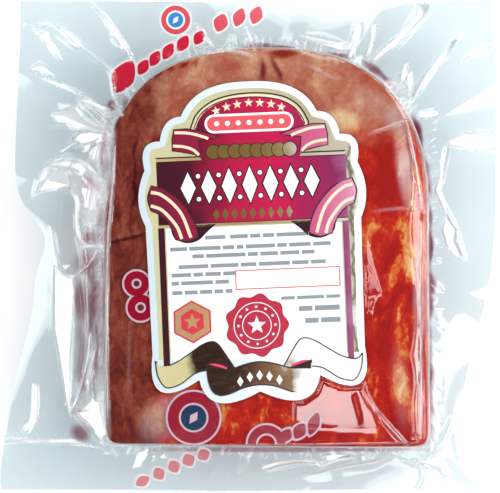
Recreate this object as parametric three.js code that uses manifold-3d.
// A vacuum pack of ham, lying on its back with the label up.
// The ham is a block with one arched end. A clear film bag is drawn tight round it, slopes down from its
// front edge and closes in a flat, pleated skirt at about half its thickness. A die-cut label is stuck on top.
// Millimetres, +Z up, +Y towards the arched end. Angles are degrees, anticlockwise from +X.
import * as THREE from "three";
import { mergeVertices } from "three/addons/utils/BufferGeometryUtils.js";
import Module from "manifold-3d";

// ---- driving dimensions ----
const ham = {
  halfWidth: 48.3,
  archHeight: 51.2, // from the widest line to the top of the arch
  archPower: 2.5, // of the superellipse: 2 is an ellipse, more is squarer
  footDepth: 67.4, // from the widest line to the straight end
  footPower: 22.0,
  footSlant: 0.016, // the straight end runs a little lower on the right
  thickness: 35.0,
  crown: 2.2, // how far the front falls from its middle to its rim
  frontEdge: 3.2, // edge radius of the front face
  frontEdgeRight: 5.2, // added to it on the right, where the block is rounder
  backEdge: 3.0,
};

const bag = {
  left: 79.0, // from the ham's centre line to each side of the bag
  right: 69.6,
  top: 66.5,
  bottom: 82.0,
  cornerPower: 80.0,
  film: 0.4, // the two plies of the skirt
  web: 2.6, // how far the film stands off the ham's wall at the skirt
  webLeft: 12.0, // added to it along the left side, where the film spans as a tent
  skirtHeight: 15.0,
  droop: 2.5, // how far the skirt sinks towards its edge
};

// Where the two sides of the bag are drawn in by the vacuum: height on the side, depth, spread.
// A depth below zero bulges out.
const sidePulls = {
  left: [
    { at: 70, depth: 4.0, spread: 55 },
    { at: -5, depth: 6.0, spread: 9 },
    { at: -22, depth: 7.5, spread: 24 },
    { at: -78, depth: -2.4, spread: 14 },
  ],
  right: [
    { at: 75, depth: 2.4, spread: 18 },
    { at: -58, depth: 10.0, spread: 32 },
  ],
};

// Pleats that run out from the ham: direction, height, half spread at the skirt.
const pleats = [
  { at: 12, height: 1.2, spread: 5 },
  { at: 31, height: 1.8, spread: 5 },
  { at: 47, height: 2.2, spread: 5 },
  { at: 62, height: 2.0, spread: 5 },
  { at: 84, height: 1.4, spread: 6 },
  { at: 104, height: 1.6, spread: 5 },
  { at: 122, height: 2.0, spread: 5 },
  { at: 137, height: 2.2, spread: 5 },
  { at: 149, height: 3.0, spread: 5 },
  { at: 170, height: 3.4, spread: 6 },
  { at: 192, height: 2.6, spread: 6 },
  { at: 222, height: 2.8, spread: 5 },
  { at: 241, height: 1.6, spread: 5 },
  { at: 262, height: 1.8, spread: 6 },
  { at: 284, height: 1.6, spread: 5 },
  { at: 303, height: 2.2, spread: 5 },
  { at: 340, height: 1.8, spread: 6 },
];

// Long waves of the whole skirt: waves round the pack, height, phase in degrees.
const ripples = [
  { turns: 3, height: 1.3, phase: 40 },
  { turns: 5, height: 0.9, phase: 200 },
  { turns: 8, height: 0.6, phase: 110 },
];

const label = {
  x: -4.1, // its middle, from the ham's centre
  y: -6.3,
  lean: 2.4,
  thickness: 0.25,
  gap: 0.3,
  cell: 4.0, // the grid that lets it follow the crowned front
  curveSteps: 7,
};

// The right half of the label's outline, from the top of its arch down to its foot: each row bends
// round a corner point to the next notch.
const labelTop = 47.3;
const labelLobes = [
  { round: [15.8, 47.7], to: [20.1, 37.7] },
  { round: [25.6, 37.6], to: [26.6, 30.6] },
  { round: [33.4, 31.0], to: [31.5, 22.2] },
  { round: [35.7, 13.5], to: [31.9, 5.7] },
  { round: [31.6, -12.0], to: [31.4, -32.1] },
  { round: [34.4, -50.4], to: [17.9, -40.4] },
  { round: [15.6, -52.4], to: [0.0, -44.5] },
];

const segments = 144; // round the pack
const rows = { face: 4, frontEdge: 3, web: 5, skirt: 7, webUnder: 3, backEdge: 2, base: 1 };

// ---- small helpers ----
const radians = THREE.MathUtils.degToRad;

function turnBetween(a, b) {
  return THREE.MathUtils.euclideanModulo(a - b + 180, 360) - 180;
}

function bell(away, spread) {
  return Math.exp(-((away / spread) ** 2));
}

function superellipse(direction, width, height, power) {
  const c = Math.abs(Math.cos(radians(direction))) / width;
  const s = Math.abs(Math.sin(radians(direction))) / height;
  return (c ** power + s ** power) ** (-1 / power);
}

// ---- the ham ----
function hamRadius(direction) {
  if (Math.sin(radians(direction)) >= 0) {
    return superellipse(direction, ham.halfWidth, ham.archHeight, ham.archPower);
  }
  const slant = 1 + ham.footSlant * Math.cos(radians(direction));
  return superellipse(direction, ham.halfWidth, ham.footDepth * slant, ham.footPower);
}

function frontEdgeRadius(direction) {
  return ham.frontEdge + ham.frontEdgeRight * bell(turnBetween(direction, -10), 70);
}

// Height of the crowned front, share being the way from its middle to the ham's outline.
function frontHeight(share) {
  return ham.thickness - ham.crown * share * share;
}

function frontHeightAt(x, y) {
  const direction = THREE.MathUtils.radToDeg(Math.atan2(y, x));
  return frontHeight(Math.hypot(x, y) / hamRadius(direction));
}

// ---- the bag ----
function webWidth(direction) {
  const rise = THREE.MathUtils.smoothstep(direction, 140, 170);
  const fall = 1 - THREE.MathUtils.smoothstep(direction, 212, 236);
  return bag.web + bag.webLeft * rise * fall;
}

function bagEdge(direction) {
  const side = Math.cos(radians(direction)) < 0 ? "left" : "right";
  const end = Math.sin(radians(direction)) < 0 ? "bottom" : "top";
  const r = superellipse(direction, bag[side], bag[end], bag.cornerPower);
  const x = r * Math.cos(radians(direction));
  const y = r * Math.sin(radians(direction));
  const pull = sidePulls[side].reduce((sum, p) => sum + p.depth * bell(y - p.at, p.spread), 0);
  return new THREE.Vector2(x * (1 - pull / bag[side]), y);
}

// How far the pleats lift the film in a direction.
function pleatLift(direction) {
  return pleats.reduce((sum, p) => {
    const away = Math.abs(turnBetween(direction, p.at)) / p.spread;
    return sum + p.height * Math.max(0, 1 - away) ** 1.4;
  }, 0);
}

// Height of the skirt's upper face, out being 0 at the foot of the web and 1 at the bag's edge.
function skirtHeight(direction, out) {
  const wave = ripples.reduce(
    (sum, r) => sum + r.height * Math.sin(radians(r.turns * direction + r.phase)),
    0,
  );
  const pleat = pleatLift(direction) * (1 - 0.75 * out);
  return bag.skirtHeight - bag.droop * out * out + wave * out + pleat;
}

// ---- the section of the pack in one direction, as points out along the ray and up ----
// Each row has a part of the section and how far along that part it lies, from 0 to 1.
function sectionRows() {
  const list = [{ part: "face", along: 0 }];
  const add = (part, count) => {
    for (let i = 1; i <= count; i++) list.push({ part, along: i / count });
  };
  add("face", rows.face);
  add("frontEdge", rows.frontEdge);
  add("web", rows.web);
  add("skirt", rows.skirt);
  list.push({ part: "skirtUnder", along: 0 });
  add("skirtUnder", rows.skirt);
  add("webUnder", rows.webUnder);
  add("backEdge", rows.backEdge);
  add("base", rows.base);
  return list;
}

function sectionPoint({ part, along }, direction) {
  const ray = new THREE.Vector2(Math.cos(radians(direction)), Math.sin(radians(direction)));
  const rim = hamRadius(direction);
  const edge = frontEdgeRadius(direction);
  const foot = rim + webWidth(direction);
  const rimHeight = frontHeight((rim - edge) / rim);
  const onRay = (r, z) => new THREE.Vector3(ray.x * r, ray.y * r, z);
  const onSkirt = (out, drop) => {
    const inner = ray.clone().multiplyScalar(foot);
    const at = inner.lerp(bagEdge(direction), out);
    return new THREE.Vector3(at.x, at.y, skirtHeight(direction, out) - drop);
  };
  switch (part) {
    case "face":
      return onRay((rim - edge) * along, frontHeight(((rim - edge) * along) / rim));
    case "frontEdge": {
      const turn = (along * Math.PI) / 2;
      return onRay(rim - edge + edge * Math.sin(turn), rimHeight - edge * (1 - Math.cos(turn)));
    }
    case "web": {
      const top = rimHeight - edge;
      const low = bag.skirtHeight;
      const sag = (1 - along) ** 2;
      return onRay(
        rim + (foot - rim) * along,
        low + (top - low) * sag + pleatLift(direction) * along,
      );
    }
    case "skirt":
      return onSkirt(along, 0);
    case "skirtUnder":
      return onSkirt(1 - along, bag.film);
    case "webUnder": {
      const high = bag.skirtHeight - bag.film;
      const sag = along ** 2;
      const lift = pleatLift(direction) * (1 - along) ** 2;
      return onRay(foot - (foot - rim) * along, high - (high - ham.backEdge) * sag + lift);
    }
    case "backEdge": {
      const turn = (along * Math.PI) / 2;
      const r = ham.backEdge;
      return onRay(rim - r * (1 - Math.cos(turn)), r * (1 - Math.sin(turn)));
    }
    default:
      return onRay((rim - ham.backEdge) * (1 - along), 0);
  }
}

// Directions evenly round the pack, with the nearest ones moved onto the bag's four corners.
function directions() {
  const list = Array.from({ length: segments }, (_, i) => (i * 360) / segments);
  const corners = [
    [bag.right, bag.top],
    [-bag.left, bag.top],
    [-bag.left, -bag.bottom],
    [bag.right, -bag.bottom],
  ];
  for (const [x, y] of corners) {
    const corner = THREE.MathUtils.euclideanModulo(
      THREE.MathUtils.radToDeg(Math.atan2(y, x)),
      360,
    );
    list[Math.round((corner * segments) / 360)] = corner;
  }
  return list;
}

// The bag and what is in it, as one solid: a turned section whose every direction is drawn out to the
// ham's outline and the bag's edge.
function bagGeometry() {
  const section = sectionRows();
  const around = directions();
  const last = section.length - 1;
  const plain = section.map((_, j) => {
    const turn = (j / last) * Math.PI;
    return new THREE.Vector2(j === 0 || j === last ? 0 : Math.sin(turn), -Math.cos(turn));
  });
  const geometry = new THREE.LatheGeometry(plain, segments);
  const position = geometry.getAttribute("position");
  for (let i = 0; i <= segments; i++) {
    for (let j = 0; j <= last; j++) {
      const p = sectionPoint(section[last - j], around[i % segments]);
      position.setXYZ(i * (last + 1) + j, p.x, p.y, p.z);
    }
  }
  geometry.deleteAttribute("normal");
  geometry.deleteAttribute("uv");
  return mergeVertices(geometry, 1e-4);
}

// ---- the label ----
function labelShape() {
  const shape = new THREE.Shape();
  shape.moveTo(0, labelTop);
  for (const lobe of labelLobes) shape.quadraticCurveTo(...lobe.round, ...lobe.to);
  for (let i = labelLobes.length - 1; i >= 0; i--) {
    const [roundX, roundY] = labelLobes[i].round;
    const [toX, toY] = i > 0 ? labelLobes[i - 1].to : [0, labelTop];
    shape.quadraticCurveTo(-roundX, roundY, -toX, toY);
  }
  return shape;
}

// A sheet of the label's thickness that follows the ham's front, cut to the label's outline.
function labelGeometry(wasm) {
  const outline = new THREE.ExtrudeGeometry(labelShape(), {
    depth: 2 * ham.thickness,
    bevelEnabled: false,
    curveSegments: label.curveSteps,
  });
  outline.rotateZ(radians(label.lean));
  outline.translate(label.x, label.y, 0);
  outline.computeBoundingBox();
  const box = outline.boundingBox;
  const width = box.max.x - box.min.x + label.cell;
  const length = box.max.y - box.min.y + label.cell;
  const sheet = new THREE.BoxGeometry(
    width,
    length,
    label.thickness,
    Math.round(width / label.cell),
    Math.round(length / label.cell),
    1,
  );
  sheet.translate((box.min.x + box.max.x) / 2, (box.min.y + box.max.y) / 2, 0);
  const position = sheet.getAttribute("position");
  for (let i = 0; i < position.count; i++) {
    const under = frontHeightAt(position.getX(i), position.getY(i));
    position.setZ(i, position.getZ(i) + under + label.gap + label.thickness / 2);
  }
  return fromSolid(toSolid(wasm, sheet).intersect(toSolid(wasm, outline)));
}

// ---- between three.js geometry and solids that can be cut ----
function toSolid(wasm, source) {
  const geometry = source.clone();
  geometry.deleteAttribute("normal");
  geometry.deleteAttribute("uv");
  const merged = mergeVertices(geometry, 1e-4);
  return new wasm.Manifold(
    new wasm.Mesh({
      numProp: 3,
      vertProperties: new Float32Array(merged.getAttribute("position").array),
      triVerts: new Uint32Array(merged.index.array),
    }),
  );
}

function fromSolid(solid) {
  const mesh = solid.getMesh();
  const geometry = new THREE.BufferGeometry();
  geometry.setAttribute("position", new THREE.BufferAttribute(mesh.vertProperties, 3));
  geometry.setIndex(new THREE.BufferAttribute(mesh.triVerts, 1));
  geometry.computeVertexNormals();
  return geometry;
}

// ---- the pack ----
const wasm = await Module();
wasm.setup();

function namedMesh(name, geometry, material) {
  const mesh = new THREE.Mesh(geometry, new THREE.MeshStandardMaterial(material));
  mesh.name = name;
  return mesh;
}

const bagMesh = namedMesh("bag", bagGeometry(), { color: "#a85138", roughness: 0.2, metalness: 0 });
const labelMesh = namedMesh("label", labelGeometry(wasm), {
  color: "#e9eef0",
  roughness: 0.3,
  metalness: 0,
});

// The origin is under the middle of the bag, on the surface that it lies on.
bagMesh.geometry.computeBoundingBox();
const middle = bagMesh.geometry.boundingBox.getCenter(new THREE.Vector3());
const pack = new THREE.Group();
pack.add(bagMesh, labelMesh);
pack.position.set(-middle.x, -middle.y, 0);

export default pack;
